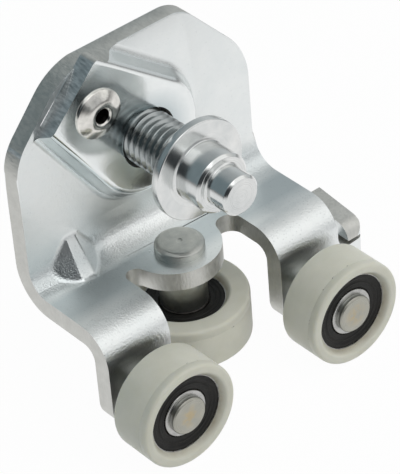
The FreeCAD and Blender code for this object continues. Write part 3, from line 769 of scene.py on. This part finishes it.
ring_start, ring_end, ring_outside = reach("left_inner_ring", rollers["left"])
ring_middle = (ring_start + ring_end) / 2
ring_bore, ring_chamfer = 4.0 * MM, 0.35 * MM
groove, groove_round = ring_outside - 0.72 * MM, 0.3 * MM
groove_half, groove_floor_half = 1.6 * MM, 0.55 * MM
ring_pattern = spun("ring_pattern", [
    (ring_bore, ring_start, ring_chamfer),
    (ring_outside, ring_start, ring_chamfer),
    (ring_outside, ring_middle - groove_half, 0),
    (groove, ring_middle - groove_floor_half, groove_round),
    (groove, ring_middle + groove_floor_half, groove_round),
    (ring_outside, ring_middle + groove_half, 0),
    (ring_outside, ring_end, ring_chamfer),
    (ring_bore, ring_end, ring_chamfer),
], steps=80)
for roller, seat in rollers.items():
    ring = copied(ring_pattern, roller + "_ground_inner_ring", seat)
    # The guide's inner ring, under the tongue, takes the near black painted shade.
    ring.data.materials.append(shade_black_steel if roller == "guide" else bearing_steel)
    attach(ring, "carriage")
    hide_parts(roller + "_inner_ring")
    for part, finish in (("outer_ring", bearing_steel), ("balls", bearing_steel), ("cage", cage_plastic)):
        node = frame["nodes"][roller + "_" + part]
        node.data.materials.clear()
        node.data.materials.append(finish)
bpy.data.objects.remove(ring_pattern)

# Bearing seals: thin discs of black rubber on a steel washer, snapped into the outer ring on each face.
# A low bead runs round each disc, and its inner edge clears the inner ring.
seal_rubber, tree, shader, place = finish_of("black_seal_rubber", metallic=0.0)
skin = placed(tree, metal_skin, Place=place, Cloud=350.0, Grain=3500.0)
colour = mixed(tree, skin["Cloud"], (0.006, 0.006, 0.0055, 1), (0.016, 0.015, 0.013, 1))
finished(tree, shader, colour, ranged(tree, skin["Grain"], 0.3, 0.7, 0.42, 0.62))
roughened(tree, shader, skin["Grain"], 0.4, 0.04 * MM)
shader.inputs["Specular IOR Level"].default_value = 0.25

seal_back, seal_face, seal_outside = reach("left_outer_seal", rollers["left"])
dished, bead = seal_face - 0.22 * MM, seal_face - 0.06 * MM
seal_inside, seal_round = 6.25 * MM, 0.1 * MM
seal_pattern = spun("seal_pattern", [
    (seal_inside, seal_back, 0),
    (seal_outside, seal_back, 0),
    (seal_outside, seal_face, 0.12 * MM),
    (8.9 * MM, seal_face, 0.15 * MM),
    (8.6 * MM, dished, 0.12 * MM),
    (8.05 * MM, dished, seal_round),
    (7.85 * MM, bead, seal_round),
    (7.6 * MM, bead, seal_round),
    (7.4 * MM, dished, seal_round),
    (seal_inside, dished, seal_round),
])
seal_pattern.data.materials.append(seal_rubber)
turned_about = Matrix.Rotation(math.pi, 4, "X")
for roller, seat in rollers.items():
    for side, way in (("outer", seat), ("inner", seat @ turned_about)):
        seal = copied(seal_pattern, roller + "_" + side + "_lip_seal", way)
        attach(seal, roller + "_roller")
        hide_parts(roller + "_" + side + "_seal")
bpy.data.objects.remove(seal_pattern)

# Tyres: natural nylon moulded round the bearing's outer ring, with a flared lip on each face.
# The mould's parting line runs round the tread near one edge, and the milky plastic lets some light in.


def tyre_pattern(roller, parting):
    """One tyre about Z, with a shallow parting line at its height on the tread."""
    start, end, outside = reach(roller + "_tyre", rollers[roller])
    ring_start, ring_end, ring = reach(roller + "_outer_ring", rollers[roller])
    gap = 0.02 * MM
    lip, lip_round = ring - 1.0 * MM, 0.08 * MM
    mouth, mouth_round = lip + 1.25 * MM, 0.4 * MM
    edge = 0.8 * MM
    line, line_depth = 0.12 * MM, 0.06 * MM
    return spun("tyre_pattern", [
        (outside, start, edge),
        (outside, parting - line, 0),
        (outside - line_depth, parting, 0),
        (outside, parting + line, 0),
        (outside, end, edge),
        (mouth, end, mouth_round),
        (lip, ring_end + gap, lip_round),
        (ring + gap, ring_end + gap, 0),
        (ring + gap, ring_start - gap, 0),
        (lip, ring_start - gap, lip_round),
        (mouth, start, mouth_round),
    ], steps=128)


nylon_dim, nylon_pale = (0.70, 0.692, 0.59, 1), (0.77, 0.762, 0.67, 1)
mouth_shade_brown, dirt_brown = (0.30, 0.24, 0.13, 1), (0.16, 0.14, 0.11, 1)
mouth_inside, mouth_outside = (9.7 * MM, 10.1 * MM), (10.3 * MM, 11.1 * MM)
dirt_width, dirt_share = (0.12 * MM, 0.26 * MM), 0.8


def nylon_finish(roller, parting):
    """Milky nylon, with painted brown shade round the recessed mouth and dirt caught in the parting line."""
    material, tree, shader, place = finish_of(roller + "_natural_nylon", metallic=0.0)
    centred = about(tree, place, rollers[roller])
    radius = placed(tree, turning_marks, Place=centred, Spacing=0.3 * MM)["Radius"]
    skin = placed(tree, metal_skin, Place=place, Cloud=130.0, Grain=1500.0)
    at_mouth = times(tree, rising(tree, radius, *mouth_inside), fading(tree, radius, *mouth_outside))
    # Painted shade: brown round the recessed mouth of the tyre.
    mouth_shade = times(tree, at_mouth, ranged(tree, skin["Cloud"], 0.2, 0.9, 0.15, 0.75))
    mouth_shaded = mixed(tree, mouth_shade, mixed(tree, skin["Cloud"], nylon_dim, nylon_pale), mouth_shade_brown)
    from_line = computed(tree, "ABSOLUTE", computed(tree, "SUBTRACT", axes(tree, centred)["Z"], parting))
    dirt = times(tree, ranged(tree, from_line, *dirt_width, dirt_share, 0.0),
                 rising(tree, skin["Grain"], 0.64, 0.72))
    finished(tree, shader, mixed(tree, dirt, mouth_shaded, dirt_brown), spread(tree, skin["Cloud"], 0.34, 0.46))
    roughened(tree, shader, skin["Grain"], 0.12, 0.05 * MM)
    shader.inputs["Subsurface Weight"].default_value = 0.35
    shader.inputs["Subsurface Radius"].default_value = (1.0, 0.9, 0.65)
    shader.inputs["Subsurface Scale"].default_value = 1.4 * MM
    return material


track_parting, guide_parting = 2.8 * MM, -2.6 * MM
track_tyre = tyre_pattern("left", track_parting)
guide_tyre = tyre_pattern("guide", guide_parting)
for roller, seat in rollers.items():
    on_guide = roller == "guide"
    tyre = copied(guide_tyre if on_guide else track_tyre, roller + "_moulded_tyre", seat)
    tyre.data.materials.append(nylon_finish(roller, guide_parting if on_guide else track_parting))
    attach(tyre, roller + "_roller")
    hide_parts(roller + "_tyre")
for pattern in (track_tyre, guide_tyre):
    bpy.data.objects.remove(pattern)

# Floor: a wide white sweep under the rollers. It is white to the eye, keeps a faint shadow of the part,
# and shows in the metal as a pool of light that fades away from the part.
floor_size, floor_glow = 12.0, 0.97
pool_edge, pool_dim = (0.22, 0.80), 0.30
white = (1.0, 1.0, 1.0, 1)
bpy.ops.object.select_all(action="DESELECT")
bpy.ops.mesh.primitive_plane_add(size=floor_size, location=(0, 0, cad_low.z))
floor = bpy.context.object
floor.name = "floor"
floor_white, tree, shader, place = finish_of("floor_white", metallic=0.0)
shader.inputs["Base Color"].default_value = (0.93, 0.93, 0.93, 1)
shader.inputs["Roughness"].default_value = 0.9
light_path = put(tree, "LightPath").outputs
mirrored = computed(tree, "MAXIMUM", light_path["Is Glossy Ray"], light_path["Is Transmission Ray"])
seen = computed(tree, "MAXIMUM", light_path["Is Camera Ray"], mirrored)
away = put(tree, "VectorMath", {0: place}, operation="LENGTH").outputs["Value"]
pool = computed(tree, "MAXIMUM", ranged(tree, away, *pool_edge, 1.0, pool_dim), light_path["Is Camera Ray"])
glow = put(tree, "Emission", {"Color": white, "Strength": pool}).outputs[0]
glowing = times(tree, seen, floor_glow)
blend = put(tree, "MixShader", {0: glowing, 1: shader.outputs[0], 2: glow})
tree.links.new(blend.outputs[0], tree.nodes["Material Output"].inputs["Surface"])
floor.data.materials.append(floor_white)

# Studio: a white tent that is brightest at the front right and above, blue grey behind, with dark gaps
# low at the front, and two large soft boxes. To the eye the background is white.
tent_front, tent_shade, tent_white = (0.45, -0.55, 0.70), (0.19, 0.24, 0.26, 1), (0.78, 0.78, 0.77, 1)
right_wall, wall_grey = (0.90, 0.42, 0.0), (0.62, 0.65, 0.66, 1)
front_gap, gap_grey = (0.30, -0.95, 0.0), (0.22, 0.23, 0.24, 1)
left_gap, gap_dark = (-0.72, -0.68, 0.12), (0.04, 0.045, 0.05, 1)
surround = bpy.data.worlds.new("studio")
bpy.context.scene.world = surround
surround.use_nodes = True
tree = surround.node_tree
way = put(tree, "TexCoord").outputs["Generated"]


def nearness(direction, start, end):
    """How near the view is to a direction of the room, from 0 at start to 1 at end, as cosines."""
    aligned = put(tree, "VectorMath", {0: way, 1: Vector(direction).normalized()}, operation="DOT_PRODUCT")
    return rising(tree, aligned.outputs["Value"], start, end)


room = mixed(tree, nearness(tent_front, 0.05, 0.90), tent_shade, tent_white)
room = mixed(tree, nearness(right_wall, 0.60, 0.92), room, wall_grey)
room = mixed(tree, nearness(front_gap, 0.90, 0.98), room, gap_grey)
room = mixed(tree, nearness(left_gap, 0.68, 0.88), room, gap_dark)
to_eye = put(tree, "LightPath").outputs["Is Camera Ray"]
tree.links.new(mixed(tree, to_eye, room, white), tree.nodes["Background"].inputs["Color"])


def soft_box(name, place, size, power):
    """Large square lamp turned towards the part."""
    bpy.ops.object.light_add(type="AREA", location=place)
    lamp = bpy.context.object
    lamp.name = name
    lamp.data.shape = "SQUARE"
    lamp.data.size = size
    lamp.data.energy = power
    lamp.rotation_euler = (-Vector(place)).to_track_quat("-Z", "Y").to_euler()


soft_box("front_box", (0.35, -0.75, 0.52), size=1.20, power=1.5)
soft_box("fill_box", (-0.25, -0.45, 0.95), size=0.90, power=1.7)

# Camera: a long lens from the front left and above, turned a little on its own axis.
# Its distance and framing follow from a focal length and a scale in pixels of the photograph.
turn, rise, lean = math.radians(37.66), math.radians(37.43), math.radians(-4.89)
focal_px, frame_height_px, px = 2910, 474, MM / 4.3674
shift_px = Vector((0.45, 67.03))
back = Vector((-math.sin(turn) * math.cos(rise), -math.cos(turn) * math.cos(rise), math.sin(rise)))
right = Vector((math.cos(turn), -math.sin(turn), 0))
upward = back.cross(right)
camera_right = math.cos(lean) * right + math.sin(lean) * upward
camera_up = math.cos(lean) * upward - math.sin(lean) * right
eye = (focal_px * back - shift_px.x * camera_right - shift_px.y * camera_up) * px
bpy.ops.object.camera_add()
camera = bpy.context.object
camera.data.lens = camera.data.sensor_width * focal_px / frame_height_px
camera.data.clip_start = 0.05
camera.matrix_world = Matrix.Translation(eye) @ Matrix((camera_right, camera_up, back)).transposed().to_4x4()
bpy.context.scene.camera = camera
bpy.context.scene.view_settings.view_transform = "Standard"
